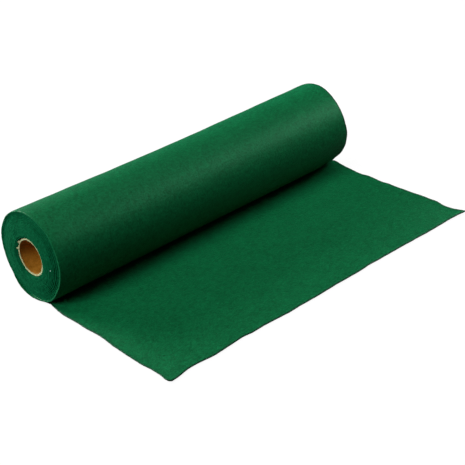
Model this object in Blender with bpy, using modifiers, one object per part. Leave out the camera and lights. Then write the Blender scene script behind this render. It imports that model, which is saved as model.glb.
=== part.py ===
"""A roll of craft felt on a cardboard core, with its loose end drawn out flat.

Metres, +Z up. X runs along the core, from the near end at -X to the far end at +X.
The roll lies on the floor at z = 0 with its axis over y = 0, and the loose end
runs out along -Y. The origin lies on the underside of the felt, right below the axis.

Turn angles start straight below the axis and climb the back of the roll, so that
90 degrees is the back at +Y, 180 the top and 270 the front, above the loose end.
"""

import math

import bmesh
import bpy
import numpy as np

# The felt as bought: one length, 45 cm wide, 5 m long and 1.5 mm thick
FELT_WIDTH = 0.450
FELT_LENGTH = 5.000
FELT_THICKNESS = 0.0015

# The cardboard core
CORE_RADIUS = 0.0224
CORE_WALL = 0.0018
CORE_CHAMFER = 0.0003
SEAT_GAP = 0.0003

# The roll: its radius where the felt leaves the floor, and how far its own weight flattens it
ROLL_RADIUS = 0.0555
ROLL_SAG = 0.0008
LOOSE_LENGTH = 0.242

# How finely round shapes are cut
TURN_STEPS = 56
LOOSE_STEPS = 24
CORE_SIDES = 48

# Points nearer than this are one point, and a point this far past a limit is still on it
WELD_DISTANCE = 0.00001
LIMIT_SLACK = 0.0001
SHARP_ANGLE = math.radians(40)

# Sizes that follow from those above
AXIS_HEIGHT = ROLL_RADIUS - ROLL_SAG
BORE_RADIUS = CORE_RADIUS + SEAT_GAP
TURN_PITCH = math.pi * (ROLL_RADIUS**2 - BORE_RADIUS**2) / (FELT_LENGTH - LOOSE_LENGTH)
NIP_RADIUS = ROLL_RADIUS - TURN_PITCH
FLAT_ANGLE = math.acos(AXIS_HEIGHT / ROLL_RADIUS)
NIP_ANGLE = 2 * math.pi - math.acos((AXIS_HEIGHT - FELT_THICKNESS) / NIP_RADIUS)
NIP_REACH = -NIP_RADIUS * math.sin(NIP_ANGLE)

# The outermost turn is a sleeve round the winding, and the two share this much of their radius
WINDING_RADIUS = 0.0532
SLEEVE_OVERLAP = 0.0010

# Places across the width where the shape is held, from -1 at the near edge to 1 at the far edge
WIDTH_STATIONS = (-0.985, -0.955, -0.90, -0.80, -0.62, -0.42, -0.20, 0.02, 0.24, 0.46, 0.66, 0.82, 0.92, 0.97)

# Girth of the roll from end to end: it is slimmest about the middle
GIRTH = (
    # place across the width, share of the full radius
    (-1.0, 1.000),
    (0.0, 0.984),
    (1.0, 1.000),
)

# Each end of the winding: how far its turns stand proud of a flat cut
END_PROFILE = (
    # radius, proud
    (BORE_RADIUS, 0.0008),
    (0.0270, 0.0022),
    (0.0350, 0.0020),
    (0.0440, 0.0004),
    (0.0500, -0.0012),
    (WINDING_RADIUS, -0.0008),
)

# Lean of each end of the winding: shift along X for each metre towards the back, and up
NEAR_LEAN = (-0.067, 0.044)
FAR_LEAN = (0.040, 0.055)

# Edges of the outermost turn, which wander along X
TURN_EDGES = (
    # turn angle in degrees, near edge shift, far edge shift
    (0, -0.0028, 0.0066),
    (22, -0.0038, 0.0046),
    (45, -0.0043, 0.0030),
    (90, -0.0035, 0.0028),
    (135, -0.0010, 0.0026),
    (180, 0.0021, 0.0022),
    (225, 0.0035, 0.0007),
    (270, 0.0032, -0.0012),
    (315, 0.0010, -0.0046),
    (360, -0.0014, -0.0060),
)

# Edges of the loose end, which wander along X
LOOSE_EDGES = (
    # distance out from below the axis, near edge shift, far edge shift
    (0.000, -0.0028, 0.0066),
    (0.012, 0.0006, 0.0084),
    (0.021, 0.0025, 0.0078),
    (0.031, 0.0000, 0.0054),
    (0.041, -0.0017, 0.0034),
    (0.054, -0.0027, 0.0016),
    (0.078, -0.0020, -0.0008),
    (0.090, -0.0021, 0.0020),
    (0.112, -0.0020, -0.0014),
    (0.122, -0.0019, 0.0000),
    (0.148, -0.0033, -0.0015),
    (0.186, -0.0041, -0.0023),
    (0.200, -0.0038, -0.0022),
    (0.218, -0.0035, -0.0058),
    (0.229, -0.0036, -0.0070),
    (0.242, -0.0046, -0.0036),
)

# The cut end of the felt, which isn't quite straight
CUT_END = (
    # place across the width, extra reach
    (-1.000, -0.0004),
    (-0.985, 0.0015),
    (-0.955, 0.0013),
    (-0.900, -0.0012),
    (-0.860, -0.0022),
    (-0.720, -0.0004),
    (-0.560, -0.0024),
    (-0.280, 0.0008),
    (0.300, 0.0002),
    (0.670, 0.0014),
    (0.870, 0.0014),
    (0.950, 0.0024),
    (1.000, 0.0038),
)

# Soft humps where the loose end lifts off the floor
HUMPS = (
    # place across the width, distance out, half width, half length, height
    (1.00, 0.247, 0.034, 0.024, 0.0024),
    (-1.00, 0.242, 0.026, 0.022, 0.0012),
    (-0.66, 0.236, 0.028, 0.030, 0.0005),
    (-0.86, 0.150, 0.035, 0.026, 0.0009),
    (0.05, 0.240, 0.070, 0.024, 0.0008),
    (0.58, 0.238, 0.040, 0.022, 0.0010),
    (1.00, 0.090, 0.024, 0.016, 0.0018),
    (1.00, 0.024, 0.030, 0.014, 0.0020),
)
HUMP_FADE = 0.012


def read(table, at, column):
    """The value in a table's column at a place along its first column."""
    places = [row[0] for row in table]
    values = [row[column] for row in table]
    return float(np.interp(at, places, values))


def clear_scene():
    for thing in list(bpy.data.objects):
        bpy.data.objects.remove(thing)


def make_collection(name):
    collection = bpy.data.collections.new(name)
    bpy.context.scene.collection.children.link(collection)
    return collection


def make_material(name, colour, roughness):
    material = bpy.data.materials.new(name)
    material.use_nodes = True
    shader = material.node_tree.nodes["Principled BSDF"]
    shader.inputs["Base Color"].default_value = (*colour, 1.0)
    shader.inputs["Roughness"].default_value = roughness
    shader.inputs["Metallic"].default_value = 0.0
    return material


def turned(name, profile, sides, collection):
    """A solid turned about X through the roll's axis, from a closed section of (radius, place along X)."""
    mesh = bpy.data.meshes.new(name)
    points = [(radius, 0.0, place) for radius, place in profile]
    edges = [(this, (this + 1) % len(points)) for this in range(len(points))]
    mesh.from_pydata(points, edges, [])
    solid = bpy.data.objects.new(name, mesh)
    solid.rotation_euler = (0.0, math.radians(90), 0.0)
    solid.location = (0.0, 0.0, AXIS_HEIGHT)
    collection.objects.link(solid)
    turn = solid.modifiers.new("turn", "SCREW")
    turn.axis = "Z"
    turn.steps = sides
    turn.render_steps = sides
    turn.use_merge_vertices = True
    turn.merge_threshold = WELD_DISTANCE
    return solid


def bake(solid):
    """Make an object's evaluated shape its own mesh, in world space, and return the new object."""
    bpy.context.view_layer.update()
    collection = solid.users_collection[0]
    name = solid.name
    mesh = bpy.data.meshes.new_from_object(solid.evaluated_get(bpy.context.evaluated_depsgraph_get()))
    mesh.transform(solid.matrix_world)
    bpy.data.objects.remove(solid)
    mesh.name = name
    baked = bpy.data.objects.new(name, mesh)
    collection.objects.link(baked)
    return baked


# The core

def build_core(collection, material):
    """The cardboard tube, turned from the section of its wall."""
    half = FELT_WIDTH / 2
    inner = CORE_RADIUS - CORE_WALL
    wall = (
        (CORE_RADIUS - CORE_CHAMFER, half),
        (CORE_RADIUS, half - CORE_CHAMFER),
        (CORE_RADIUS, -half + CORE_CHAMFER),
        (CORE_RADIUS - CORE_CHAMFER, -half),
        (inner, -half),
        (inner, half),
    )
    core = turned("core_tube", wall, CORE_SIDES, collection)
    core.data.materials.append(material)
    core.data.shade_smooth()
    core.data.set_sharp_from_angle(angle=SHARP_ANGLE)


# The winding: every turn but the outermost, as one body

def shape_winding(point):
    """Lean both ends of the winding, and draw in its waist but not its bore."""
    x, y, z = point
    back, up = NEAR_LEAN if x < 0.0 else FAR_LEAN
    girth = 1.0
    if math.hypot(y, z - AXIS_HEIGHT) > (BORE_RADIUS + WINDING_RADIUS) / 2:
        girth = read(GIRTH, x / (FELT_WIDTH / 2), 1)
    return x + back * y + up * (z - AXIS_HEIGHT), y * girth, z * girth


def build_winding(collection):
    """The winding, turned from the section of one side: far end, outside, near end, bore."""
    half = FELT_WIDTH / 2
    far_end = [(radius, half + proud) for radius, proud in END_PROFILE]
    outside = [(WINDING_RADIUS, across * half) for across in reversed(WIDTH_STATIONS)]
    near_end = [(radius, -place) for radius, place in reversed(far_end)]
    winding = bake(turned("winding", far_end + outside + near_end, TURN_STEPS, collection))
    for vertex in winding.data.vertices:
        vertex.co = shape_winding(vertex.co)
    winding.hide_render = True
    winding.display_type = "WIRE"
    return winding


# The outermost turn and the loose end

def sleeve_outlines():
    """The sleeve seen end on: its outside, from the cut end round to the nip and back, and its hole."""
    outside = [(-LOOSE_LENGTH, 0.0)]
    angles = np.linspace(FLAT_ANGLE, NIP_ANGLE, TURN_STEPS + 1)
    radii = np.linspace(ROLL_RADIUS, NIP_RADIUS, TURN_STEPS + 1)
    for angle, radius in zip(angles, radii):
        outside.append((radius * math.sin(angle), AXIS_HEIGHT - radius * math.cos(angle)))
    outside.append((-LOOSE_LENGTH, FELT_THICKNESS))
    hole = []
    for angle in np.linspace(0.0, 2 * math.pi, TURN_STEPS, endpoint=False):
        radius = WINDING_RADIUS - SLEEVE_OVERLAP
        hole.append((radius * math.sin(angle), AXIS_HEIGHT - radius * math.cos(angle)))
    return outside, hole


def draw_section(name, outlines, collection):
    """Outlines in Y and Z as a filled curve, as wide as the felt and stood up across X."""
    curve = bpy.data.curves.new(name, "CURVE")
    curve.dimensions = "2D"
    curve.fill_mode = "BOTH"
    curve.extrude = FELT_WIDTH / 2
    for outline in outlines:
        spline = curve.splines.new("POLY")
        spline.points.add(len(outline) - 1)
        spline.use_cyclic_u = True
        for point, (y, z) in zip(spline.points, outline):
            point.co = (y, z, 0.0, 1.0)
    section = bpy.data.objects.new(name, curve)
    section.rotation_euler = (math.radians(90), 0.0, math.radians(90))
    collection.objects.link(section)
    return section


def slice_mesh(shape, faces, at, normal):
    """Cut new edges through some of the faces, along a plane."""
    edges = {edge for face in faces for edge in face.edges}
    points = {vertex for face in faces for vertex in face.verts}
    whole = list(points) + list(edges) + list(faces)
    bmesh.ops.bisect_plane(shape, geom=whole, dist=WELD_DISTANCE, plane_co=at, plane_no=normal)


def is_low(point):
    return point[2] < FELT_THICKNESS + LIMIT_SLACK


def in_loose_end(point):
    return is_low(point) and point[1] < LIMIT_SLACK


def hump_height(across, out):
    """How far the loose end's underside lifts off the floor."""
    height = 0.0
    for centre, reach, half_width, half_length, rise in HUMPS:
        sideways = (across - centre) * FELT_WIDTH / 2 / half_width
        along = (out - reach) / half_length
        height += rise * math.exp(-1.5 * (sideways**2 + along**2))
    clear_of_roll = min(1.0, max(0.0, (out - NIP_REACH) / HUMP_FADE))
    return height * clear_of_roll


def shape_loose(across, y, z):
    """Move a point of the loose end to the edge, the cut and the humps that it has there."""
    out = max(0.0, -y)
    near = read(LOOSE_EDGES, out, 1) - FELT_WIDTH / 2
    far = read(LOOSE_EDGES, out, 2) + FELT_WIDTH / 2
    free_share = max(0.0, (out - NIP_REACH) / (LOOSE_LENGTH - NIP_REACH))
    reach = out + read(CUT_END, across, 1) * free_share**3
    return near + (far - near) * (across + 1) / 2, -reach, z + hump_height(across, out)


def shape_turn(across, y, z):
    """Move a point of the outermost turn to the girth that the roll has there, and its edges in or out."""
    degrees = math.degrees(math.atan2(y, AXIS_HEIGHT - z)) % 360
    near = read(TURN_EDGES, degrees, 1) - FELT_WIDTH / 2
    far = read(TURN_EDGES, degrees, 2) + FELT_WIDTH / 2
    girth = read(GIRTH, across, 1)
    return near + (far - near) * (across + 1) / 2, y * girth, z * girth


def build_sleeve(name, collection):
    """The outermost turn and the loose end, sliced finely enough to bend, then shaped point by point."""
    sleeve = bake(draw_section(name, sleeve_outlines(), collection))
    shape = bmesh.new()
    shape.from_mesh(sleeve.data)
    bmesh.ops.remove_doubles(shape, verts=shape.verts[:], dist=WELD_DISTANCE)
    for across in WIDTH_STATIONS:
        slice_mesh(shape, shape.faces[:], (across * FELT_WIDTH / 2, 0.0, 0.0), (1.0, 0.0, 0.0))
    for out in (0.0, *np.linspace(NIP_REACH, LOOSE_LENGTH, LOOSE_STEPS, endpoint=False)):
        low = [face for face in shape.faces if all(is_low(vertex.co) for vertex in face.verts)]
        slice_mesh(shape, low, (0.0, -out, 0.0), (0.0, 1.0, 0.0))
    for vertex in shape.verts:
        x, y, z = vertex.co
        across = x / (FELT_WIDTH / 2)
        shaper = shape_loose if in_loose_end(vertex.co) else shape_turn
        vertex.co = shaper(across, y, z)
    bmesh.ops.recalc_face_normals(shape, faces=shape.faces[:])
    shape.to_mesh(sleeve.data)
    shape.free()
    return sleeve


def build_felt(collection, helpers, material):
    """One solid of felt: the sleeve with its loose end, joined to the winding inside it."""
    felt = build_sleeve("felt", collection)
    felt.data.materials.clear()
    felt.data.materials.append(material)
    felt.data.shade_smooth()
    felt.data.set_sharp_from_angle(angle=SHARP_ANGLE)
    join = felt.modifiers.new("join_winding", "BOOLEAN")
    join.operation = "UNION"
    join.solver = "EXACT"
    join.object = build_winding(helpers)


def main():
    clear_scene()
    collection = make_collection("roll_of_felt")
    helpers = make_collection("helpers")
    green_felt = make_material("green_felt", (0.006, 0.105, 0.034), 0.95)
    kraft_board = make_material("kraft_board", (0.42, 0.24, 0.10), 0.85)
    build_core(collection, kraft_board)
    build_felt(collection, helpers, green_felt)


main()
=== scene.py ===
# %% [markdown]
# # A roll of craft felt
#
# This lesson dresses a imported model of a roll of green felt. The felt is one length of cloth, wound
# about nineteen times round a cardboard core, with its loose end drawn out flat over the floor.
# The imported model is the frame: it fixes every size and place, in metres, with +Z up. The roll lies
# along X with its near end at -X, and the loose end runs out along -Y.

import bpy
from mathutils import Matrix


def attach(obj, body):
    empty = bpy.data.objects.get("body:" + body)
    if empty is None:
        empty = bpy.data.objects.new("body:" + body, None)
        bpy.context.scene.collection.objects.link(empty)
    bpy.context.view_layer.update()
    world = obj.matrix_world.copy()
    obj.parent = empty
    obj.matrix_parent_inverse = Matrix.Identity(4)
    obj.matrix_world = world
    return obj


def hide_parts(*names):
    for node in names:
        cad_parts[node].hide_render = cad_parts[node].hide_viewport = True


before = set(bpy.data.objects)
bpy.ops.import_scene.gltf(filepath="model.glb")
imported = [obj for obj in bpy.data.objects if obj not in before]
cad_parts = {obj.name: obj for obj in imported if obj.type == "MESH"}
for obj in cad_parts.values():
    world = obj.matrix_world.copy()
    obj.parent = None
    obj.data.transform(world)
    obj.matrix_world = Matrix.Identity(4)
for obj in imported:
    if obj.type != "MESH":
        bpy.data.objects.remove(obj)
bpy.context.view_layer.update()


# %% Tools that the lesson uses
import math

import bmesh
import bpy
import numpy as np
from mathutils import Matrix, Vector

TAU = 2 * math.pi
scene = bpy.context.scene

# %% [markdown]
# ## The felt as it is bought
#
# Craft felt is a fleece of fibres that barbed needles have punched together. It is sold 45 cm wide,
# about 1.5 mm thick, and this piece is 5 m long. All of it is modelled: the wound turns show at the
# near end as fine rings, so a plain disc there would look wrong from close by.
#
# Four sizes fix the whole winding. The felt between the core and the outside of the roll has a known
# length, so the step from one turn to the next follows: it is the thickness of the felt and a little
# air.

# %% Sizes of the felt and its winding
FELT_WIDTH = 0.450
FELT_LENGTH = 5.000
FELT_THICKNESS = 0.0015
HALF_WIDTH = FELT_WIDTH / 2

CORE_RADIUS = 0.0224
CORE_WALL = 0.0018
SEAT_RADIUS = CORE_RADIUS + 0.0003

ROLL_RADIUS = 0.0555
ROLL_SAG = 0.0008
LOOSE_LENGTH = 0.242
AXIS_HEIGHT = ROLL_RADIUS - ROLL_SAG

wound_length = FELT_LENGTH - LOOSE_LENGTH
wound_depth = ROLL_RADIUS - FELT_THICKNESS - SEAT_RADIUS
TURN_PITCH = math.pi * wound_depth * (ROLL_RADIUS + SEAT_RADIUS) / wound_length
TURNS = wound_depth / TURN_PITCH
NIP_REACH = 0.0080
print(f"{TURNS:.1f} turns, {TURN_PITCH * 1000:.3f} mm apart")

# %% [markdown]
# ## Where each end of the roll goes in and out
#
# Nobody winds felt perfectly straight. The turns at the near end lean, the outermost turn stands
# a little proud, and the cut edges wander. These small tables hold that, with one row for each place.
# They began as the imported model's numbers and were then refined on the photograph, mostly by less
# than 2 mm. The outermost turn's far edge, low at the front and underneath, was changed the most.

# %% Unevenness of the roll
GIRTH = (
    # place across the width, share of the full radius
    (-1.0, 1.000),
    (-0.5, 0.987),
    (-0.2, 0.979),
    (0.2, 0.981),
    (0.6, 0.990),
    (1.0, 1.000),
)

END_PROFILE = (
    # radius, how far the winding stands proud of a flat cut there
    (SEAT_RADIUS, 0.0008),
    (0.0270, 0.0022),
    (0.0350, 0.0020),
    (0.0440, 0.0004),
    (0.0500, -0.0012),
    (0.0532, -0.0008),
)

# Lean of each end: shift along X for each metre towards the back, and up
NEAR_LEAN = (-0.067, 0.044)
FAR_LEAN = (0.040, 0.055)

# Hollow of the near end, and retreat and pinch of the far one: how much, and round which turn angle
NEAR_HOLLOW = 0.0024
HOLLOW_ANGLE = math.radians(248)
FAR_TUCK = 0.0060
TUCK_ANGLE = math.radians(325)
FAR_PINCH = 0.0018
PINCH_ANGLE = math.radians(335)
PINCH_START = 3.6

TURN_EDGES = (
    # turn angle in degrees from straight below, near edge shift, far edge shift
    (0, -0.0026, 0.0066),
    (22, -0.0043, 0.0046),
    (30, -0.0050, 0.0040),
    (38, -0.0048, 0.0034),
    (45, -0.0042, 0.0030),
    (55, -0.0033, 0.0030),
    (65, -0.0032, 0.0029),
    (90, -0.0028, 0.0028),
    (105, -0.0026, 0.0027),
    (125, -0.0012, 0.0026),
    (135, -0.0009, 0.0026),
    (180, 0.0027, 0.0034),
    (190, 0.0034, 0.0038),
    (205, 0.0044, 0.0022),
    (216, 0.0050, 0.0014),
    (225, 0.0055, 0.0008),
    (246, 0.0045, 0.0006),
    (254, 0.0040, 0.0002),
    (270, 0.0032, 0.0014),
    (279, 0.0024, 0.0002),
    (288, 0.0016, -0.0004),
    (303, -0.0014, -0.0050),
    (312, -0.0020, -0.0100),
    (320, -0.0024, -0.0070),
    (330, -0.0023, -0.0010),
    (345, -0.0022, 0.0040),
    (360, -0.0024, 0.0060),
)

# %% Unevenness of the loose end
LOOSE_EDGES = (
    # distance out from below the axis, near edge shift, far edge shift
    (0.000, -0.0026, 0.0066),
    (0.012, 0.0006, 0.0086),
    (0.021, 0.0015, 0.0084),
    (0.031, -0.0003, 0.0063),
    (0.041, -0.0021, 0.0051),
    (0.054, -0.0028, 0.0034),
    (0.066, -0.0023, 0.0012),
    (0.078, -0.0018, -0.0008),
    (0.090, -0.0023, -0.0005),
    (0.100, -0.0019, -0.0010),
    (0.112, -0.0016, -0.0019),
    (0.122, -0.0016, -0.0008),
    (0.133, -0.0026, -0.0017),
    (0.148, -0.0040, -0.0017),
    (0.160, -0.0043, -0.0022),
    (0.177, -0.0044, -0.0017),
    (0.186, -0.0045, -0.0022),
    (0.200, -0.0048, -0.0027),
    (0.210, -0.0037, -0.0060),
    (0.218, -0.0038, -0.0071),
    (0.229, -0.0046, -0.0068),
    (0.237, -0.0062, -0.0051),
    (0.242, -0.0058, -0.0046),
)

CUT_END = (
    # place across the width, extra reach of the cut end
    (-1.000, 0.0004),
    (-0.992, 0.0028),
    (-0.978, 0.0035),
    (-0.955, 0.0026),
    (-0.900, -0.0005),
    (-0.860, -0.0021),
    (-0.830, -0.0018),
    (-0.770, 0.0001),
    (-0.720, 0.0011),
    (-0.630, -0.0002),
    (-0.560, -0.0017),
    (-0.490, 0.0000),
    (-0.420, -0.0004),
    (-0.350, 0.0006),
    (-0.280, 0.0019),
    (-0.210, 0.0014),
    (-0.140, 0.0017),
    (-0.070, 0.0025),
    (0.000, 0.0021),
    (0.070, 0.0018),
    (0.210, 0.0021),
    (0.280, 0.0007),
    (0.420, 0.0010),
    (0.490, 0.0016),
    (0.560, 0.0026),
    (0.630, 0.0030),
    (0.700, 0.0033),
    (0.770, 0.0032),
    (0.870, 0.0030),
    (0.910, 0.0038),
    (0.950, 0.0045),
    (0.985, 0.0062),
    (1.000, 0.0070),
)

HUMPS = (
    # place across the width, distance out, half width, half length, height
    (1.00, 0.247, 0.034, 0.022, 0.0018),
    (-1.00, 0.242, 0.026, 0.022, 0.0012),
    (-0.66, 0.236, 0.028, 0.030, 0.0005),
    (-0.86, 0.150, 0.035, 0.026, 0.0009),
    (0.05, 0.240, 0.070, 0.024, 0.0008),
    (0.58, 0.238, 0.040, 0.022, 0.0010),
    (1.00, 0.090, 0.024, 0.018, 0.0012),
    (1.00, 0.024, 0.030, 0.014, 0.0014),
)
HUMP_FADE = 0.012


def read(table, at, column):
    """The values in a table's column at places along its first column."""
    rows = np.array(table)
    return np.interp(at, rows[:, 0], rows[:, column])


def smooth_step(value):
    """0 below 0, 1 above 1, and a soft curve between."""
    value = np.clip(value, 0.0, 1.0)
    return value * value * (3 - 2 * value)


print("tables read, near edge at the top of the roll:", round(float(read(TURN_EDGES, 180, 1)), 4))

# %% [markdown]
# ## Waves
#
# Soft cloth is never quite flat. A few long waves of different lengths and directions, added up,
# make an unevenness that doesn't repeat. The same helper gives the small wander of the cut edges.
# Its directions come from a seeded generator, so that each run gives the same cloth.

# %% A helper for soft waves
def waves(u, v, lengths, seed):
    """A soft random surface between 0 and 1 over u and v, from one wave for each length in metres."""
    chance = np.random.default_rng(seed)
    total = np.zeros(np.broadcast(u, v).shape)
    for length in lengths:
        heading, phase = chance.uniform(0, TAU, 2)
        total += np.sin(TAU * (u * math.cos(heading) + v * math.sin(heading)) / length + phase)
    return 0.5 + 0.5 * total / len(lengths)


def wander(along, lengths, seed):
    """A soft random line between -1 and 1 along a distance."""
    chance = np.random.default_rng(seed)
    total = np.zeros(np.shape(along))
    for length in lengths:
        total += np.sin(TAU * along / length + chance.uniform(0, TAU))
    return total / len(lengths)


print("waves at the origin:", round(float(waves(0.0, 0.0, (0.06, 0.09), 3)), 3))

# %% [markdown]
# ## Where a point of the felt lies
#
# Each point of the cloth is known by four numbers: how far out it lies on the loose end, how far
# round the winding it has turned, where it is across the width, and how deep it is in the thickness.
# One function turns them into a place, for the loose end and for every turn alike, so that the
# cloth stays one piece. The roll's own weight flattens it a little underneath, which is the larger
# of two heights: that of the round turn and that of a floor under each turn.

# %% Heights of the loose end, and swell of the outermost turn
LOOSE_WAVE = 0.0007
TURN_SWELL = 0.0005
LOOSE_WAVE_LENGTHS = (0.058, 0.081, 0.117, 0.160)
TURN_SWELL_LENGTHS = (0.034, 0.052, 0.083, 0.140)
LOOSE_WAVE_SEED = 11
TURN_SWELL_SEED = 23
HUMP_SHARPNESS = 1.5
SWELL_START = 0.4
SWELL_END = 0.3
SWELL_FADE = 0.6


def lift(out, across):
    """How far the loose end's underside is off the floor."""
    height = LOOSE_WAVE * waves(out, across * HALF_WIDTH, LOOSE_WAVE_LENGTHS, LOOSE_WAVE_SEED)
    for centre, reach, half_width, half_length, rise in HUMPS:
        sideways = (across - centre) * HALF_WIDTH / half_width
        along = (out - reach) / half_length
        height = height + rise * np.exp(-HUMP_SHARPNESS * (sideways**2 + along**2))
    return height * smooth_step((out - NIP_REACH) / HUMP_FADE)


def swell(turn, across):
    """How far the outermost turn bulges away from the turn below."""
    bulge = TURN_SWELL * waves(turn * ROLL_RADIUS, across * HALF_WIDTH, TURN_SWELL_LENGTHS, TURN_SWELL_SEED)
    begun = smooth_step((turn - SWELL_START) / SWELL_FADE)
    return bulge * begun * smooth_step((TAU - SWELL_END - turn) / SWELL_FADE)


print("the loose end's far corner is", round(float(lift(LOOSE_LENGTH, 1.0)) * 1000, 2), "mm up")

# %% Edges of every row of the felt
EDGE_WANDER = 0.00042
EDGE_WANDER_LENGTHS = (0.007, 0.012, 0.023, 0.041, 0.090, 0.210)
NEAR_EDGE_SEED = 5
FAR_EDGE_SEED = 6


def edges(out, turn, along):
    """Where the near and far edges of a row of the felt lie along X."""
    radius = ROLL_RADIUS - TURN_PITCH * turn / TAU - FELT_THICKNESS / 2
    back = radius * np.sin(turn)
    up = -radius * np.cos(turn)
    proud = read(END_PROFILE, radius, 1)
    wound_near = NEAR_LEAN[0] * back + NEAR_LEAN[1] * up - proud
    wound_far = FAR_LEAN[0] * back + FAR_LEAN[1] * up + proud
    high_front = smooth_step((np.cos(turn - HOLLOW_ANGLE) + 0.2) / 0.8)
    wound_near = wound_near + NEAR_HOLLOW * high_front * smooth_step((radius - 0.040) / 0.008)
    low_front = smooth_step((np.cos(turn - TUCK_ANGLE) - 0.5) / 0.4)
    wound_far = wound_far - FAR_TUCK * low_front * smooth_step((radius - 0.030) / 0.02)
    degrees = np.degrees(turn)
    outer_near = np.where(out > 0, read(LOOSE_EDGES, out, 1), read(TURN_EDGES, degrees, 1))
    outer_far = np.where(out > 0, read(LOOSE_EDGES, out, 2), read(TURN_EDGES, degrees, 2))
    inside = smooth_step((turn - TAU) / (math.pi / 3))
    near = outer_near + (wound_near - outer_near) * inside
    far = outer_far + (wound_far - outer_far) * inside
    near = near - HALF_WIDTH + EDGE_WANDER * wander(along, EDGE_WANDER_LENGTHS, NEAR_EDGE_SEED)
    far = far + HALF_WIDTH + EDGE_WANDER * wander(along, EDGE_WANDER_LENGTHS, FAR_EDGE_SEED)
    return near, far


# %% The place of a point of the felt
EDGE_ROUND = 0.00012
EDGE_TUCK = 0.0004
CUT_SLANT = 0.0006
CUT_WANDER = 0.00035
CUT_WANDER_LENGTHS = (0.008, 0.013, 0.027, 0.061)
CUT_WANDER_SEED = 8
CUT_ROUNDING = 0.002


def place(out, turn, along, across, depth):
    """Points for rows by columns. Depth 0 is the face that lies on the floor, and 1 the other one."""
    out, turn, along = (np.asarray(value)[:, None] for value in (out, turn, along))
    across = np.asarray(across)[None, :]
    radius = ROLL_RADIUS - TURN_PITCH * turn / TAU - FELT_THICKNESS * depth
    outermost = 1 - smooth_step((turn - TAU + 0.3) / 0.3)
    radius = radius + swell(turn, across)
    low_front = smooth_step((np.cos(turn - PINCH_ANGLE) - 0.80) / 0.2)
    low_front = low_front * smooth_step((turn - PINCH_START) / 0.9)
    far_rim = smooth_step((across - 0.80) / 0.2) * smooth_step((radius - 0.03) / 0.02)
    radius = radius - FAR_PINCH * low_front * far_rim
    radius = radius - EDGE_TUCK * outermost * smooth_step((np.abs(across) - 0.982) / 0.018)
    share = (radius - CORE_RADIUS) / (ROLL_RADIUS - CORE_RADIUS)
    round_height = AXIS_HEIGHT - radius * np.cos(turn)
    floor_height = AXIS_HEIGHT - radius + ROLL_SAG * share
    y = radius * np.sin(turn)
    z = np.maximum(round_height, floor_height)
    girth = 1 + (read(GIRTH, across, 1) - 1) * smooth_step(share)
    y = y * girth
    z = z * np.where(turn > 0, girth, 1.0)
    free_share = np.clip((out - NIP_REACH) / (LOOSE_LENGTH - NIP_REACH), 0.0, 1.0)
    cut_wander = wander(across * HALF_WIDTH, CUT_WANDER_LENGTHS, CUT_WANDER_SEED)
    cut_reach = read(CUT_END, across, 1) + CUT_WANDER * cut_wander
    y = y - out - cut_reach * free_share**3
    z = z + lift(out, across)
    near, far = edges(out, turn, along)
    x = near + (far - near) * (across + 1) / 2
    under = CUT_SLANT * (1 - depth) * free_share**0.5
    x = x - under * np.sign(across) * smooth_step((np.abs(across) - 0.985) / 0.0155)
    y = y + CUT_SLANT * (1 - depth) * smooth_step((out - LOOSE_LENGTH + CUT_ROUNDING) / CUT_ROUNDING)
    return np.stack(np.broadcast_arrays(x, y, z), axis=-1)


print("a point at the top of the roll:", place([0.0], [math.pi], [0.42], [0.0], 0.0).round(4).tolist())

# %% [markdown]
# ## The felt's mesh
#
# A sheet with a thickness is a flat ring of points in section: the underside from edge to edge, the
# rounded cut edge, the upper side back again, and the other cut edge. Such a ring stands at each row
# along the cloth, and quads join it to the next. The rows that show have many columns, and the turns
# inside, where only the two ends show, have few. One row of larger faces joins the two kinds, hidden
# under the outermost turn.

# %% Rows and columns
LOOSE_ROWS = 110
OUTER_ROWS = 130
INNER_ROWS_PER_TURN = 54
EDGE_COLUMNS = (0.95, 0.985, 0.9955, 1.0)
INNER_COLUMNS = (-0.6, 0.0, 0.6)
SIDE_DEPTHS = (0.15, 0.5, 0.85)
FINE_COLUMNS = 77
FINE_TURNS = 1.02

edge_columns = np.array(EDGE_COLUMNS)
coarse_columns = np.concatenate([-edge_columns[::-1], INNER_COLUMNS, edge_columns])
even_columns = np.linspace(-EDGE_COLUMNS[0], EDGE_COLUMNS[0], FINE_COLUMNS)
fine_columns = np.unique(np.concatenate([coarse_columns, even_columns]).round(9))

loose_out = np.linspace(LOOSE_LENGTH, 0.0, LOOSE_ROWS, endpoint=False)
outer_turn = np.linspace(0.0, TAU * FINE_TURNS, OUTER_ROWS)
inner_turn = np.arange(outer_turn[-1] + TAU / INNER_ROWS_PER_TURN, TAU * TURNS, TAU / INNER_ROWS_PER_TURN)


def length_to(turn):
    """Length of felt from below the axis round to a turn angle."""
    return turn * (ROLL_RADIUS - FELT_THICKNESS / 2) - TURN_PITCH * turn**2 / (2 * TAU)


fine_rows = {
    "out": np.concatenate([loose_out, np.zeros(len(outer_turn))]),
    "turn": np.concatenate([np.zeros(len(loose_out)), outer_turn]),
}
coarse_rows = {"out": np.zeros(len(inner_turn)), "turn": inner_turn}
for rows in (fine_rows, coarse_rows):
    rows["along"] = LOOSE_LENGTH - rows["out"] + length_to(rows["turn"])
print(len(fine_columns), "fine columns,", len(coarse_columns), "coarse,", len(fine_rows["out"]), "fine rows,",
      len(inner_turn), "coarse rows, felt used:", round(float(coarse_rows["along"][-1]), 3), "m")


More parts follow.
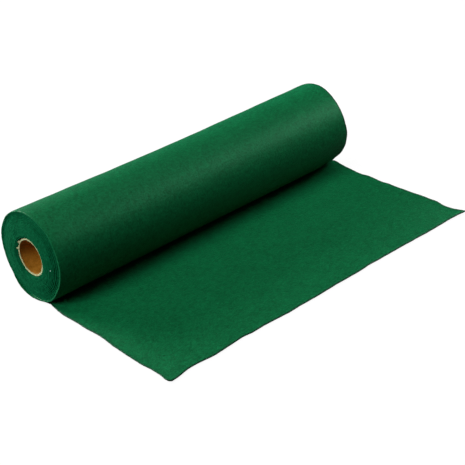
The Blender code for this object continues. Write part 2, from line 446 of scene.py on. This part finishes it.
# %% Rings of points
def ring_points(rows, columns):
    """The ring of points of each row, with their places on the flat cloth."""
    strips = [place(rows["out"], rows["turn"], rows["along"], columns, 0.0)]
    across = [columns]
    for depth in SIDE_DEPTHS:
        side = place(rows["out"], rows["turn"], rows["along"], [1.0], depth)
        side[..., 0] += EDGE_ROUND * (1 - (2 * depth - 1)**2)
        strips.append(side)
        across.append([1.0 + depth * FELT_THICKNESS])
    strips.append(place(rows["out"], rows["turn"], rows["along"], columns[::-1], 1.0))
    across.append(columns[::-1])
    for depth in reversed(SIDE_DEPTHS):
        side = place(rows["out"], rows["turn"], rows["along"], [-1.0], depth)
        side[..., 0] -= EDGE_ROUND * (1 - (2 * depth - 1)**2)
        strips.append(side)
        across.append([-1.0 - depth * FELT_THICKNESS])
    points = np.concatenate(strips, axis=1)
    across = np.concatenate(across)
    flat_u = np.broadcast_to(across * HALF_WIDTH, points.shape[:2])
    flat_v = np.broadcast_to(rows["along"][:, None], points.shape[:2])
    return points, flat_u, flat_v


def join_rings(first, ring_length, ring_count):
    """Quads between one ring and the next."""
    ring = np.arange(ring_length)
    after = (ring + 1) % ring_length
    quads = []
    for row in range(ring_count - 1):
        here = first + row * ring_length
        there = here + ring_length
        quads += np.stack([here + ring, here + after, there + after, there + ring], axis=1).tolist()
    return quads


# %% Join the fine rows to the coarse ones
def zip_rings(fine_first, coarse_first):
    """Faces between the last fine ring and the first coarse one, whose columns are some of the fine ones."""
    shared = np.searchsorted(fine_columns, coarse_columns - 1e-6)
    fine_count, coarse_count, sides = len(fine_columns), len(coarse_columns), len(SIDE_DEPTHS)
    fine_ring = []
    coarse_ring = []
    for start, end in zip(shared[:-1], shared[1:]):
        fine_ring.append(list(range(start, end + 1)))
    for column in range(coarse_count - 1):
        coarse_ring.append([column, column + 1])
    for side in range(sides + 1):
        fine_ring.append([fine_count - 1 + side, fine_count + side])
        coarse_ring.append([coarse_count - 1 + side, coarse_count + side])
    fine_upper, coarse_upper = fine_count + sides, coarse_count + sides
    for start, end in zip(shared[::-1][:-1], shared[::-1][1:]):
        fine_ring.append(list(range(fine_upper + fine_count - 1 - start, fine_upper + fine_count - end)))
    for column in range(coarse_count - 1):
        coarse_ring.append([coarse_upper + column, coarse_upper + column + 1])
    fine_length, coarse_length = 2 * (fine_count + sides), 2 * (coarse_count + sides)
    for side in range(sides + 1):
        fine_ring.append([fine_length - sides - 1 + side, (fine_length - sides + side) % fine_length])
        coarse_ring.append([coarse_length - sides - 1 + side, (coarse_length - sides + side) % coarse_length])
    faces = []
    for fine, coarse in zip(fine_ring, coarse_ring):
        back_again = [coarse_first + point for point in coarse[::-1]]
        faces.append([fine_first + point for point in fine] + back_again)
    return faces


def cap_faces(ring_first, middle_first, columns, flip):
    """Faces from a ring to the line of points along the middle of its cut end."""
    count, sides = len(columns), len(SIDE_DEPTHS)
    faces = []
    upper_first = ring_first + count + sides
    for column in range(count - 1):
        upper = upper_first + count - 1 - column
        faces.append([ring_first + column, middle_first + column,
                      middle_first + column + 1, ring_first + column + 1])
        faces.append([middle_first + column, upper, upper - 1, middle_first + column + 1])
    right = [ring_first + count - 1 + step for step in range(sides + 2)]
    faces.append(right[::-1] + [middle_first + count - 1])
    left = [ring_first + 2 * count + sides - 1 + step for step in range(sides + 1)] + [ring_first]
    faces.append(left[::-1] + [middle_first])
    return [face[::-1] for face in faces] if flip else faces


# %% Make the felt
def make_mesh_object(name, points, faces):
    mesh = bpy.data.meshes.new(name)
    mesh.from_pydata([tuple(point) for point in points], [], faces)
    mesh.update()
    made = bpy.data.objects.new(name, mesh)
    scene.collection.objects.link(made)
    return made


def cut_line(rows, row, columns, reach):
    """The middle line of a cut end, a little past its last ring."""
    line = place(rows["out"][[row]], rows["turn"][[row]], rows["along"][[row]], columns, 0.5)[0]
    line[:, 1] -= reach
    return line


fine_points, fine_u, fine_v = ring_points(fine_rows, fine_columns)
coarse_points, coarse_u, coarse_v = ring_points(coarse_rows, coarse_columns)
cut_points = cut_line(fine_rows, 0, fine_columns, EDGE_ROUND)
last_points = cut_line(coarse_rows, -1, coarse_columns, 0.0)

fine_length, coarse_length = fine_points.shape[1], coarse_points.shape[1]
coarse_first = fine_points.shape[0] * fine_length
cut_first = coarse_first + coarse_points.shape[0] * coarse_length
last_first = cut_first + len(cut_points)

felt_points = np.concatenate([fine_points.reshape(-1, 3), coarse_points.reshape(-1, 3), cut_points,
                              last_points])
felt_faces = join_rings(0, fine_length, fine_points.shape[0])
felt_faces += zip_rings(coarse_first - fine_length, coarse_first)
felt_faces += join_rings(coarse_first, coarse_length, coarse_points.shape[0])
felt_faces += cap_faces(0, cut_first, fine_columns, False)
felt_faces += cap_faces(cut_first - coarse_length, last_first, coarse_columns, True)
felt = make_mesh_object("wound_felt", felt_points, felt_faces)
print("felt:", len(felt.data.vertices), "points,", len(felt.data.polygons), "faces")

# %% [markdown]
# ## Faces outwards, and the cloth's own coordinates
#
# The mesh is checked before anything is built on it: a closed skin whose faces point outwards has
# a positive volume, and that volume is the felt's own. The cloth then gets a UV map in metres along
# and across the length as it came off the machine, and two attributes. One marks the fuzzy rim of
# the outermost turn, which also gets a painted highlight, and the other the cut edges that get
# painted shade where they lie in shade.

# %% Check the skin
def check_skin(thing):
    """Turn the faces outwards if need be, and measure the closed skin."""
    shape = bmesh.new()
    shape.from_mesh(thing.data)
    if shape.calc_volume(signed=True) < 0:
        bmesh.ops.reverse_faces(shape, faces=shape.faces[:])
    open_edges = sum(1 for edge in shape.edges if not edge.is_manifold)
    uneven_edges = sum(1 for edge in shape.edges if edge.is_manifold and not edge.is_contiguous)
    volume = shape.calc_volume(signed=True)
    shape.to_mesh(thing.data)
    shape.free()
    triangles = sum(len(face.vertices) - 2 for face in thing.data.polygons)
    print(f"{thing.name}: {triangles} triangles, {open_edges} open edges, {uneven_edges} uneven, "
          f"{volume * 1e6:.1f} cm3")


check_skin(felt)
felt.data.shade_smooth()

# %% Flat coordinates and the cut edge
flat_u = np.concatenate([fine_u.reshape(-1), coarse_u.reshape(-1), fine_columns * HALF_WIDTH,
                         coarse_columns * HALF_WIDTH])
flat_v = np.concatenate([fine_v.reshape(-1), coarse_v.reshape(-1),
                         np.full(len(fine_columns), -FELT_THICKNESS),
                         np.full(len(coarse_columns), FELT_LENGTH)])
corner_points = np.empty(len(felt.data.loops), dtype=np.int32)
felt.data.loops.foreach_get("vertex_index", corner_points)
flat_map = felt.data.uv_layers.new(name="cloth")
flat_places = np.stack([flat_u, flat_v], axis=1)[corner_points]
flat_map.data.foreach_set("uv", flat_places.reshape(-1).astype(np.float32))
print("flat cloth across:", (float(flat_u.min().round(4)), float(flat_u.max().round(4))))

# %% Mark the edges
# Distance from a cut over which the mark fades, and the mark from which a point is on the cut
EDGE_FADE = 0.0022
ON_EDGE = 0.99
to_side = HALF_WIDTH - np.abs(flat_u)
to_cut = flat_v
cut_edge = np.clip(1 - np.minimum(to_side, to_cut) / EDGE_FADE, 0.0, 1.0)
# The outermost turn's rim is marked for a paler colour: its fuzz, and a painted highlight along the rim.
rim_start = smooth_step((fine_rows["turn"] - 0.9) / 0.5)
outer_rows = rim_start * smooth_step((TAU - 0.2 - fine_rows["turn"]) / 0.4)
outer_rim = np.zeros(len(flat_u))
outer_rim[:coarse_first] = np.repeat(outer_rows, fine_length) * (cut_edge[:coarse_first] > ON_EDGE)
# Painted shade: the cut edges of the loose end and the far edges of the roll are marked for a darker colour that
# stands for the shade on them.
painted_edge_shade = cut_edge * ((flat_v < LOOSE_LENGTH) | (flat_u > 0))
for name, values in (("outer_rim", outer_rim), ("painted_edge_shade", painted_edge_shade)):
    mark = felt.data.attributes.new(name, "FLOAT", "POINT")
    mark.data.foreach_set("value", values.astype(np.float32))
print("points on a cut edge:", int((cut_edge > ON_EDGE).sum()))

# %% [markdown]
# ## The cardboard core
#
# A core is strips of kraft board wound on a slant round a mandrel, glued, and sawn to length. It
# starts as a cylinder that is too long. Its two end faces are inset by the thickness of the wall,
# and bridging the inner faces opens the bore. The tube is then sawn to length with bisect, square at
# the far end and on the slant of the winding at the near one. A saw leaves the rim furred, so the
# rims are bevelled, a few rings are cut near each end, and their points are moved a little at random.
# A few bits of paper that the saw tore are pulled out of the near rim.

# %% A few modelling helpers
def deselect_objects():
    if bpy.context.object and bpy.context.object.mode != "OBJECT":
        bpy.ops.object.mode_set(mode="OBJECT")
    bpy.ops.object.select_all(action="DESELECT")


def start_editing(thing, select_mode):
    deselect_objects()
    thing.select_set(True)
    bpy.context.view_layer.objects.active = thing
    bpy.ops.object.mode_set(mode="EDIT")
    chosen_mode = [select_mode == mode for mode in ("VERT", "EDGE", "FACE")]
    bpy.context.tool_settings.mesh_select_mode = chosen_mode
    bpy.ops.mesh.select_all(action="DESELECT")


def select_faces(thing, wanted):
    """Select the faces for which wanted(centre, normal) is true, and return how many there are."""
    shape = bmesh.from_edit_mesh(thing.data)
    count = 0
    for face in shape.faces:
        chosen = wanted(face.calc_center_median(), face.normal)
        face.select_set(chosen)
        count += chosen
    shape.select_flush_mode()
    bmesh.update_edit_mesh(thing.data)
    return count


def select_points(thing, wanted):
    shape = bmesh.from_edit_mesh(thing.data)
    count = 0
    for point in shape.verts:
        chosen = wanted(point.co)
        point.select_set(chosen)
        count += chosen
    shape.select_flush_mode()
    bmesh.update_edit_mesh(thing.data)
    return count


def select_edges(thing, wanted):
    """Select the edges for which wanted(one end, other end) is true."""
    shape = bmesh.from_edit_mesh(thing.data)
    count = 0
    for edge in shape.edges:
        chosen = wanted(edge.verts[0].co, edge.verts[1].co)
        edge.select_set(chosen)
        count += chosen
    shape.select_flush_mode()
    bmesh.update_edit_mesh(thing.data)
    return count


def settle(thing):
    """Leave edit mode and put the object's place into its mesh."""
    bpy.ops.object.mode_set(mode="OBJECT")
    deselect_objects()
    thing.select_set(True)
    bpy.context.view_layer.objects.active = thing
    bpy.ops.object.transform_apply(location=True, rotation=True, scale=True)


def from_axis(point):
    """Distance of a point from the roll's axis."""
    return math.hypot(point.y, point.z - AXIS_HEIGHT)


# %% Turn a tube blank
CORE_SIDES = 120
BLANK_SPARE = 0.012

deselect_objects()
bpy.ops.mesh.primitive_cylinder_add(vertices=CORE_SIDES, radius=CORE_RADIUS, depth=FELT_WIDTH + BLANK_SPARE,
                                    location=(0.0, 0.0, AXIS_HEIGHT), rotation=(0.0, math.radians(90), 0.0))
core = bpy.context.object
core.name = "cardboard_core"
bpy.ops.object.transform_apply(location=True, rotation=True, scale=True)
start_editing(core, "FACE")
ends = select_faces(core, lambda centre, normal: abs(normal.x) > 0.9)
bpy.ops.mesh.inset(thickness=CORE_WALL, depth=0.0, use_individual=True)
select_faces(core, lambda centre, normal: abs(normal.x) > 0.9 and from_axis(centre) < 0.001)
bpy.ops.mesh.bridge_edge_loops()
print("tube blank:", ends, "ends,", len(core.data.vertices), "points")

# %% Saw it to length
SAW_FACING = {
    # end of the roll: which way its cut faces
    -1: Vector((-1.0, NEAR_LEAN[0], NEAR_LEAN[1])),
    1: Vector((1.0, 0.0, 0.0)),
}
CORE_BEVEL = 0.00018
ON_CUT = 2e-5
SAME_RADIUS = 4e-5


def cut_depth(point, side):
    """How deep a point lies inside the cut at one end, along the roll."""
    facing = SAW_FACING[side]
    return facing.dot(Vector((side * HALF_WIDTH, 0.0, AXIS_HEIGHT)) - point)


def saw(side, depth, clear):
    bpy.ops.mesh.select_all(action="SELECT")
    bpy.ops.mesh.bisect(plane_co=(side * (HALF_WIDTH - depth), 0.0, AXIS_HEIGHT),
                        plane_no=SAW_FACING[side].normalized(), clear_outer=clear)


start_editing(core, "EDGE")
for side in SAW_FACING:
    saw(side, 0.0, True)
    bpy.ops.mesh.bridge_edge_loops()
bpy.ops.mesh.select_all(action="DESELECT")
rims = select_edges(core, lambda one, other: abs(from_axis(one) - from_axis(other)) < SAME_RADIUS
                    and any(abs(cut_depth(one, side)) < ON_CUT and abs(cut_depth(other, side)) < ON_CUT
                            for side in SAW_FACING))
bpy.ops.mesh.bevel(offset=CORE_BEVEL, segments=2, profile=0.5, affect="EDGES")
print("rim edges:", rims)

# %% Roughen the sawn rims
RIM_CUTS = (0.0006, 0.0014, 0.0030, 0.0070)
RIM_FUR = 0.00018
FUR_DEPTH = RIM_CUTS[0] + ON_CUT
FUR_SEED = 7

for side in SAW_FACING:
    for cut in RIM_CUTS:
        saw(side, cut, False)
start_editing(core, "VERT")
furred = select_points(core, lambda point: from_axis(point) < CORE_RADIUS - 1e-5
                       and any(abs(cut_depth(point, side)) < FUR_DEPTH for side in SAW_FACING))
bpy.ops.transform.vertex_random(offset=RIM_FUR, uniform=1.0, normal=0.0, seed=FUR_SEED)
print("furred points:", furred)

# %% Torn bits of paper on the near rim
TORN_BITS = (
    # turn angle in degrees, half angle, pull outwards along the roll, pull away from the axis
    (131, 4.8, 0.0016, 0.0008),
    (104, 3.6, 0.0015, 0.0012),
    (117, 5.0, -0.0006, 0.0000),
    (296, 1.8, 0.0006, 0.0004),
    (38, 1.8, 0.0005, 0.0003),
)
TORN_DEPTH = 0.0005
TORN_REACH = 0.0011


def off_axis(point):
    """The line to a point from the roll's axis, straight out."""
    return point - Vector((point.x, 0.0, AXIS_HEIGHT))


for angle, half_angle, pull_out, pull_away in TORN_BITS:
    angle = math.radians(angle)
    away = Vector((0.0, math.sin(angle), -math.cos(angle)))
    bpy.ops.mesh.select_all(action="DESELECT")
    torn = select_points(core, lambda point: abs(cut_depth(point, -1)) < TORN_DEPTH
                         and from_axis(point) > CORE_RADIUS - TORN_REACH
                         and off_axis(point).angle(away) < math.radians(half_angle))
    bpy.ops.transform.translate(value=(-pull_out, away.y * pull_away, away.z * pull_away),
                                use_proportional_edit=True, proportional_edit_falloff="SHARP",
                                proportional_size=TORN_REACH)
settle(core)
check_skin(core)
bpy.ops.object.shade_smooth_by_angle(angle=math.radians(35))
print("points in the last torn bit:", torn)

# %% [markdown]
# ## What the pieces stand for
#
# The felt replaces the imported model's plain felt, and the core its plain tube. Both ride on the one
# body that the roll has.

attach(felt, "root")
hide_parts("felt")
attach(core, "root")
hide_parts("core_tube")

# %% [markdown]
# ## Materials
#
# Materials come as nodes. A small helper adds a node and sets its sockets, so that each material
# reads like a list of its steps.

# %% A helper for nodes
def add_node(tree, kind, **settings):
    """Add a shader node, and set its properties and its inputs by name or number."""
    node = tree.nodes.new(kind)
    inputs = settings.pop("inputs", {})
    for name, value in settings.items():
        setattr(node, name, value)
    for name, value in inputs.items():
        if isinstance(value, bpy.types.NodeSocket):
            tree.links.new(value, node.inputs[name])
        else:
            node.inputs[name].default_value = value
    return node


def math_node(tree, operation, *values, clamp=False):
    node = add_node(tree, "ShaderNodeMath", operation=operation, use_clamp=clamp,
                    inputs={place: value for place, value in enumerate(values)})
    return node.outputs[0]


def new_material(name):
    material = bpy.data.materials.new(name)
    material.use_nodes = True
    return material, material.node_tree, material.node_tree.nodes["Principled BSDF"]


# %% [markdown]
# ## Fibres
#
# Felt has no weave. Close up it is a mat of fine fibres with small pits where the needles went in,
# and from a step away a fine mottling. The group below makes both: four sizes of cloudiness and the
# pits for the tone, and the two finest sizes with the pits for the relief. The same fibres are in
# the felt's faces and its cut edges, in two materials, so they are a group.

# %% The group for punched fibres
def make_fibre_group():
    group = bpy.data.node_groups.new("punched_fibres", "ShaderNodeTree")
    group.interface.new_socket("Vector", in_out="INPUT", socket_type="NodeSocketVector")
    spread = group.interface.new_socket("Size", in_out="INPUT", socket_type="NodeSocketFloat")
    spread.default_value = 1.0
    group.interface.new_socket("Tone", in_out="OUTPUT", socket_type="NodeSocketFloat")
    group.interface.new_socket("Relief", in_out="OUTPUT", socket_type="NodeSocketFloat")
    enter = group.nodes.new("NodeGroupInput")
    leave = group.nodes.new("NodeGroupOutput")
    vector = add_node(group, "ShaderNodeVectorMath", operation="SCALE",
                      inputs={0: enter.outputs["Vector"], "Scale": enter.outputs["Size"]}).outputs[0]

    def cloud(scale, detail, roughness, distortion=0.0):
        return add_node(group, "ShaderNodeTexNoise", inputs={
            "Vector": vector, "Scale": scale, "Detail": detail, "Roughness": roughness,
            "Distortion": distortion}).outputs["Fac"]

    broad = cloud(22.0, 2.0, 0.5)
    middle = cloud(190.0, 3.0, 0.6)
    fine = cloud(430.0, 4.0, 0.65, 0.4)
    hair = cloud(1500.0, 2.0, 0.7, 1.5)
    pits = add_node(group, "ShaderNodeTexVoronoi", feature="SMOOTH_F1", inputs={
        "Vector": vector, "Scale": 430.0, "Smoothness": 0.5, "Randomness": 0.85}).outputs["Distance"]
    tone = math_node(group, "MULTIPLY", broad, 0.05)
    for part, weight in ((middle, 0.27), (fine, 0.42), (hair, 0.16), (pits, 0.12)):
        tone = math_node(group, "MULTIPLY_ADD", part, weight, tone)
    relief = math_node(group, "MULTIPLY", fine, 0.30)
    for part, weight in ((hair, 0.25), (pits, 0.45)):
        relief = math_node(group, "MULTIPLY_ADD", part, weight, relief)
    group.links.new(tone, leave.inputs["Tone"])
    group.links.new(relief, leave.inputs["Relief"])
    return group


punched_fibres = make_fibre_group()
print("group:", punched_fibres.name, [item.name for item in punched_fibres.interface.items_tree])

# %% [markdown]
# ## Green felt
#
# The dye is a deep green. The tone from the fibre group moves it between a darker and a lighter
# green. The felt has two materials, one for its faces and one for its cut edges, which are duller
# because one looks into the ends of the fibres. Both get painted shade, a darker colour along the cut
# edges of the loose end and the far edges of the roll, where the edges lie in shade. The rim of the
# outermost turn is fuzzy and gets a paler colour, a painted highlight along it, and a pale speck of
# lint lies on the near end. Felt scatters light at a glancing angle, which the shader's sheen gives.

# %% The felt's materials
FELT_DARK = (0.0009, 0.050, 0.0138, 1.0)
FELT_LIGHT = (0.0046, 0.158, 0.0510, 1.0)
CUT_DARK = (0.0010, 0.056, 0.0200, 1.0)
CUT_LIGHT = (0.0050, 0.142, 0.0540, 1.0)
# Colour of the painted shade on the cut edges that lie in shade
EDGE_SHADE_COLOUR = (0.0040, 0.022, 0.0120, 1.0)
# Paler colour of the outermost turn's rim: its fuzz and a painted highlight
RIM_FUZZ_AND_HIGHLIGHT = (0.020, 0.190, 0.075, 1.0)
LINT_PLACE = (-0.22417, -0.03758, 0.05052)
LINT_SIZE = 0.00072
LINT_COLOUR = (0.50, 0.78, 0.70, 1.0)
RIM_FUZZ_AND_HIGHLIGHT_SHARE = 0.42
EDGE_SHADE_SHARE = 0.8
FELT_TONES = (0.36, 0.64)
FELT_SPECULAR_TINT = (0.15, 0.90, 0.45, 1.0)
FELT_SHEEN_TINT = (0.06, 0.80, 0.45, 1.0)
INNER_CUT = 0.3


def make_felt_material(name, dark, light, roughness, specular, sheen):
    material, tree, shader = new_material(name)
    place_on_felt = add_node(tree, "ShaderNodeTexCoord").outputs["Object"]
    fibres = add_node(tree, "ShaderNodeGroup", node_tree=punched_fibres, inputs={
        "Vector": place_on_felt, "Size": 1.0})
    tone = add_node(tree, "ShaderNodeMapRange", inputs={
        "Value": fibres.outputs["Tone"], "From Min": FELT_TONES[0], "From Max": FELT_TONES[1]}).outputs["Result"]
    green = add_node(tree, "ShaderNodeMix", data_type="RGBA")
    tree.links.new(tone, green.inputs[0])
    green.inputs[6].default_value = dark
    green.inputs[7].default_value = light
    colour = green.outputs[2]
    if name == "cut_felt":
        to_lint = add_node(tree, "ShaderNodeVectorMath", operation="DISTANCE", inputs={
            0: place_on_felt, 1: LINT_PLACE}).outputs["Value"]
        lint = add_node(tree, "ShaderNodeMix", data_type="RGBA")
        tree.links.new(math_node(tree, "LESS_THAN", to_lint, LINT_SIZE), lint.inputs[0])
        tree.links.new(colour, lint.inputs[6])
        lint.inputs[7].default_value = LINT_COLOUR
        # Fuzz and a painted highlight on the rim of the outermost turn
        rim = add_node(tree, "ShaderNodeAttribute", attribute_name="outer_rim").outputs["Fac"]
        rim_fuzz_and_highlight = add_node(tree, "ShaderNodeMix", data_type="RGBA")
        tree.links.new(math_node(tree, "MULTIPLY", rim, RIM_FUZZ_AND_HIGHLIGHT_SHARE), rim_fuzz_and_highlight.inputs[0])
        tree.links.new(lint.outputs[2], rim_fuzz_and_highlight.inputs[6])
        rim_fuzz_and_highlight.inputs[7].default_value = RIM_FUZZ_AND_HIGHLIGHT
        colour = rim_fuzz_and_highlight.outputs[2]
    # Painted shade: the marked cut edges are darkened towards the edge shade colour
    edge = add_node(tree, "ShaderNodeAttribute", attribute_name="painted_edge_shade").outputs["Fac"]
    shaded_colour = add_node(tree, "ShaderNodeMix", data_type="RGBA")
    tree.links.new(math_node(tree, "MULTIPLY", edge, EDGE_SHADE_SHARE), shaded_colour.inputs[0])
    tree.links.new(colour, shaded_colour.inputs[6])
    shaded_colour.inputs[7].default_value = EDGE_SHADE_COLOUR
    tree.links.new(shaded_colour.outputs[2], shader.inputs["Base Color"])
    bump = add_node(tree, "ShaderNodeBump", inputs={
        "Strength": 0.8, "Distance": 0.0006, "Height": fibres.outputs["Relief"]})
    tree.links.new(bump.outputs["Normal"], shader.inputs["Normal"])
    shader.inputs["Roughness"].default_value = roughness
    shader.inputs["Specular IOR Level"].default_value = specular
    shader.inputs["Specular Tint"].default_value = FELT_SPECULAR_TINT
    shader.inputs["Sheen Weight"].default_value = sheen
    shader.inputs["Sheen Roughness"].default_value = 0.40
    shader.inputs["Sheen Tint"].default_value = FELT_SHEEN_TINT
    return material


green_felt = make_felt_material("green_felt", FELT_DARK, FELT_LIGHT, 0.46, 0.19, 0.10)
cut_felt = make_felt_material("cut_felt", CUT_DARK, CUT_LIGHT, 0.95, 0.02, 0.03)
felt.data.materials.append(green_felt)
felt.data.materials.append(cut_felt)
least = np.array([min(cut_edge[point] for point in face.vertices) for face in felt.data.polygons])
inner = np.array([min(face.vertices) >= coarse_first for face in felt.data.polygons])
on_cut = least > np.where(inner, INNER_CUT, ON_EDGE)
felt.data.polygons.foreach_set("material_index", on_cut.astype(np.int32))
print("faces on a cut edge:", int(on_cut.sum()))

# %% [markdown]
# ## Kraft board
#
# The core is brown kraft board, with the slanting seam of its inner strip showing in the bore, and
# a paler, creamy cut where the saw went through.

# %% The group for paper grain
def make_paper_group():
    group = bpy.data.node_groups.new("paper_grain", "ShaderNodeTree")
    group.interface.new_socket("Vector", in_out="INPUT", socket_type="NodeSocketVector")
    group.interface.new_socket("Tone", in_out="OUTPUT", socket_type="NodeSocketFloat")
    group.interface.new_socket("Relief", in_out="OUTPUT", socket_type="NodeSocketFloat")
    enter = group.nodes.new("NodeGroupInput")
    leave = group.nodes.new("NodeGroupOutput")
    cloud = add_node(group, "ShaderNodeTexNoise", inputs={
        "Vector": enter.outputs["Vector"], "Scale": 90.0, "Detail": 4.0, "Roughness": 0.6}).outputs["Fac"]
    fleck = add_node(group, "ShaderNodeTexNoise", inputs={
        "Vector": enter.outputs["Vector"], "Scale": 1400.0, "Detail": 3.0, "Roughness": 0.7}).outputs["Fac"]
    tone = math_node(group, "MULTIPLY_ADD", fleck, 0.5, math_node(group, "MULTIPLY", cloud, 0.5))
    group.links.new(tone, leave.inputs["Tone"])
    group.links.new(fleck, leave.inputs["Relief"])
    return group


paper_grain = make_paper_group()
print("group:", paper_grain.name)

# %% The core's materials
PLY_WIDTH = 0.075
SEAM_WIDTH = 0.035
SEAM_SHADE = -0.7
SEAM_DEPTH = -1.5
SAWN_DEPTH = 0.0007


def make_board_material(name, dark, light, seam):
    material, tree, shader = new_material(name)
    spot = add_node(tree, "ShaderNodeTexCoord").outputs["Object"]
    grain = add_node(tree, "ShaderNodeGroup", node_tree=paper_grain, inputs={"Vector": spot})
    tone = add_node(tree, "ShaderNodeMapRange", inputs={
        "Value": grain.outputs["Tone"], "From Min": 0.35, "From Max": 0.65}).outputs["Result"]
    height = grain.outputs["Relief"]
    if seam:
        parts = add_node(tree, "ShaderNodeSeparateXYZ", inputs={0: spot})
        up = math_node(tree, "SUBTRACT", parts.outputs["Z"], AXIS_HEIGHT)
        angle = math_node(tree, "ARCTAN2", parts.outputs["Y"], up)
        turns = math_node(tree, "MULTIPLY_ADD", parts.outputs["X"], 1 / PLY_WIDTH,
                          math_node(tree, "DIVIDE", angle, TAU))
        gap = math_node(tree, "LESS_THAN", math_node(tree, "FRACT", turns), SEAM_WIDTH)
        tone = math_node(tree, "MULTIPLY_ADD", gap, SEAM_SHADE, tone, clamp=True)
        height = math_node(tree, "MULTIPLY_ADD", gap, SEAM_DEPTH, height)
    colour = add_node(tree, "ShaderNodeMix", data_type="RGBA")
    tree.links.new(tone, colour.inputs[0])
    colour.inputs[6].default_value = (*dark, 1.0)
    colour.inputs[7].default_value = (*light, 1.0)
    tree.links.new(colour.outputs[2], shader.inputs["Base Color"])
    bump = add_node(tree, "ShaderNodeBump", inputs={"Strength": 0.5, "Distance": 0.0002, "Height": height})
    tree.links.new(bump.outputs["Normal"], shader.inputs["Normal"])
    shader.inputs["Roughness"].default_value = 0.85
    shader.inputs["Specular IOR Level"].default_value = 0.3
    return material


kraft_board = make_board_material("kraft_board", (0.30, 0.118, 0.008), (0.60, 0.272, 0.040), True)
sawn_board = make_board_material("sawn_board", (0.42, 0.44, 0.21), (0.64, 0.69, 0.42), False)
core.data.materials.append(kraft_board)
core.data.materials.append(sawn_board)
sawn = 0
for face in core.data.polygons:
    face.material_index = int(min(cut_depth(face.center, side) for side in SAW_FACING) < SAWN_DEPTH)
    sawn += face.material_index
print("sawn faces:", sawn)

# %% [markdown]
# ## Studio
#
# The roll lies on a plain pale floor. Large soft boxes above, behind and far to the left make the top
# bright and the near end half as bright, and the front rolls away into the dark over its own loose
# end. Three small ones at the front and right lift the far part. The side light stays out of
# reflections, which would look milky from the right, and the glance light is in reflections only.
# A weak even light fills the rest.

# %% Floor
FLOOR_SIZE = 12.0
FLOOR_DROP = 0.0002
FLOOR_GLOW = 0.93

deselect_objects()
bpy.ops.mesh.primitive_plane_add(size=FLOOR_SIZE, location=(0.0, 0.0, -FLOOR_DROP))
floor = bpy.context.object
floor.name = "floor"
floor_material, floor_tree, floor_shader = new_material("pale_floor")
floor_shader.inputs["Base Color"].default_value = (0.08, 0.08, 0.08, 1.0)
floor_shader.inputs["Roughness"].default_value = 0.9
floor_shader.inputs["Specular IOR Level"].default_value = 0.1
floor_shader.inputs["Emission Color"].default_value = (1.0, 1.0, 1.0, 1.0)
straight_view = add_node(floor_tree, "ShaderNodeLightPath").outputs["Is Camera Ray"]
glow = math_node(floor_tree, "MULTIPLY", straight_view, FLOOR_GLOW)
floor_tree.links.new(glow, floor_shader.inputs["Emission Strength"])
floor.data.materials.append(floor_material)

# %% Lights
def add_softbox(name, location, target, size, power):
    light = bpy.data.lights.new(name, "AREA")
    light.shape = "DISK"
    light.size = size
    light.energy = power
    lamp = bpy.data.objects.new(name, light)
    lamp.location = location
    lamp.rotation_euler = (Vector(target) - Vector(location)).to_track_quat("-Z", "Y").to_euler()
    scene.collection.objects.link(lamp)
    return lamp


add_softbox("top_light", (0.307, -0.054, 1.467), (0.0, 0.0, 0.0), 1.0, 6.3)
add_softbox("back_light", (-0.592, 2.208, 1.014), (0.0, 0.0, 0.0), 1.2, 79.0)
side_light = add_softbox("side_light", (-3.272, -0.171, 2.294), (0.0, 0.0, 0.03), 1.6, 111.0)
side_light.visible_glossy = False
add_softbox("front_light", (0.66, -0.45, 0.75), (0.15, -0.05, 0.0), 0.4, 2.0)
add_softbox("right_light", (0.48, -0.17, 0.22), (0.10, -0.10, 0.0), 0.12, 0.32)
glance_light = add_softbox("glance_light", (0.90, -0.90, 0.94), (0.05, 0.0, 0.05), 0.35, 8.5)
glance_light.visible_diffuse = False
world = bpy.data.worlds.new("studio")
world.use_nodes = True
world.node_tree.nodes["Background"].inputs["Color"].default_value = (1.0, 1.0, 1.0, 1.0)
world.node_tree.nodes["Background"].inputs["Strength"].default_value = 0.01
scene.world = world
scene.view_settings.view_transform = "Standard"

# %% [markdown]
# ## Camera
#
# The camera was fitted to the outlines of the roll and its loose end in the photograph. It stands
# to the left of the roll's front, looks down on it by 28 degrees, and is turned a little on its axis.

# %% Camera
CAMERA_PLACE = (-0.73750, -1.01887, 0.64215)
YAW, PITCH, ROLL = math.radians(38.107), math.radians(27.722), math.radians(-7.04)
LENS = 88.27

forward = Vector((math.sin(YAW) * math.cos(PITCH), math.cos(YAW) * math.cos(PITCH), -math.sin(PITCH)))
level = Vector((math.cos(YAW), -math.sin(YAW), 0.0))
upright = level.cross(forward)
right = level * math.cos(ROLL) + upright * math.sin(ROLL)
up = upright * math.cos(ROLL) - level * math.sin(ROLL)

camera_data = bpy.data.cameras.new("camera")
camera_data.lens = LENS
camera_data.sensor_width = 36.0
camera_data.clip_start = 0.05
camera = bpy.data.objects.new("camera", camera_data)
turning = [[right[axis], up[axis], -forward[axis], CAMERA_PLACE[axis]] for axis in range(3)]
turning.append([0, 0, 0, 1])
camera.matrix_world = Matrix(turning)
scene.collection.objects.link(camera)
scene.camera = camera
print("camera looks along", [round(value, 4) for value in forward])
